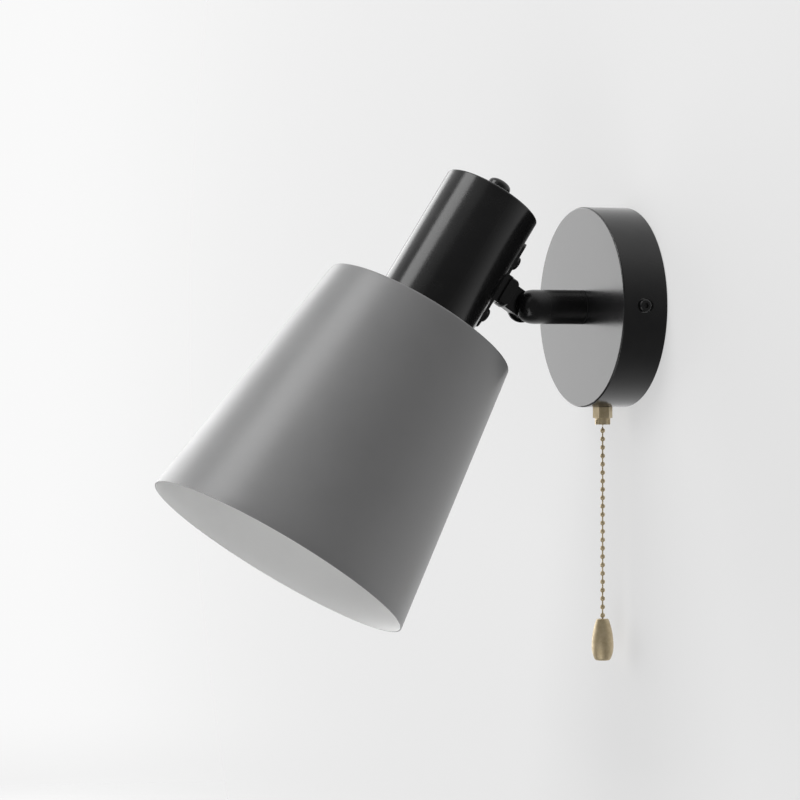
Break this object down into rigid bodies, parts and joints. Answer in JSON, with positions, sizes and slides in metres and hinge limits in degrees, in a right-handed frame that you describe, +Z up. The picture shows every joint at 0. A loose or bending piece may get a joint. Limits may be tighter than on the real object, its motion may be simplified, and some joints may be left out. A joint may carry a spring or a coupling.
{
  "type": "bedside wall reading lamp",
  "caption": "Wall lamp with a round black canopy, a short swivelling arm, a tilting cylindrical lampholder cup with a grey conical shade, and a brass bead-chain pull switch.",
  "frame": {"origin": "on the wall plane at the canopy's centre, midway between the two wall-screw slots", "axes": "+Z up, +Y into the wall (the room is on the -Y side), +X along the wall"},
  "size_m": [0.1382, 0.2432, 0.2443],
  "materials": {
    "black_paint": "satin",
    "grey_paint": "satin",
    "aged_brass": "satin",
    "zinc_steel": "satin",
    "spring_steel": "polished",
    "brass_contact": "polished",
    "black_nylon": "matte",
    "white_nylon": "satin",
    "holder_plastic": "satin",
    "holder_ceramic": "gloss",
    "switch_plastic": "satin",
    "grommet_rubber": "matte",
    "lead_brown": "satin",
    "lead_blue": "satin",
    "lead_sheath": "satin"
  },
  "bodies": {
    "canopy": {"wall_bracket": "zinc_steel", "cable_grommet": "grommet_rubber", "earth_washer": "zinc_steel", "earth_screw": "brass_contact", "terminal_block": "white_nylon", "terminal_screws": "zinc_steel", "canopy_cover": "black_paint", "side_screws": "black_paint", "switch_case": "switch_plastic", "switch_lid": "switch_plastic", "switch_bushing": "aged_brass", "switch_inner_nut": "zinc_steel", "switch_hex_nut": "aged_brass", "switch_ring_nut": "aged_brass", "return_spring": "spring_steel", "lead_live": "lead_brown", "lead_neutral": "lead_blue", "lead_switched": "lead_brown"},
    "arm": {"swivel_washer": "black_nylon", "inner_washer": "white_nylon", "spring_washer": "spring_steel", "arm_lock_nut": "zinc_steel", "arm_nipple": "zinc_steel", "arm_tube": "black_paint", "arm_insert": "zinc_steel", "arm_knuckle": "black_paint", "arm_lead": "lead_sheath", "friction_washer": "spring_steel", "hinge_washer": "black_paint", "hinge_screw": "black_paint"},
    "head": {"head_knuckle": "black_paint", "saddle_plate": "black_paint", "saddle_screws": "black_paint", "knuckle_bolt": "zinc_steel", "lampholder_cup": "black_paint", "cap_washer": "black_paint", "cap_nut": "black_paint", "holder_nipple": "zinc_steel", "holder_nut": "zinc_steel", "holder_cap": "holder_plastic", "holder_base": "holder_ceramic", "holder_body": "holder_plastic", "screw_shell": "brass_contact", "centre_contact": "brass_contact", "shade_ring": "holder_plastic", "shade": "grey_paint"},
    "pull_plunger": {"pull_plunger": "white_nylon", "upper_chain": "aged_brass"},
    "pull_chain": {"bead_chain": "aged_brass", "pull_knob": "aged_brass"}
  },
  "joints": [
    {"name": "arm_swivel", "type": "hinge", "parent": "canopy", "child": "arm", "pos_m": [0, -0.0235, 0], "axis": [0, -1, 0], "range_deg": [-170, 170]},
    {"name": "head_tilt", "type": "hinge", "parent": "arm", "child": "head", "pos_m": [0, -0.0533, 0], "axis": [-1, 0, 0], "range_deg": [-32.8, 37.2]},
    {"name": "pull_slide", "type": "slide", "parent": "canopy", "child": "pull_plunger", "axis": [0, 0, -1], "range_m": [0, 0.005], "stiffness_N_per_m": 1500, "springref_m": -0.001, "deforming": ["return_spring"]},
    {"name": "pull_swing", "type": "hinge", "parent": "pull_plunger", "child": "pull_chain", "pos_m": [0, -0.01135, -0.05964], "axis": [0, 1, 0], "range_deg": [-20, 20]}
  ]
}
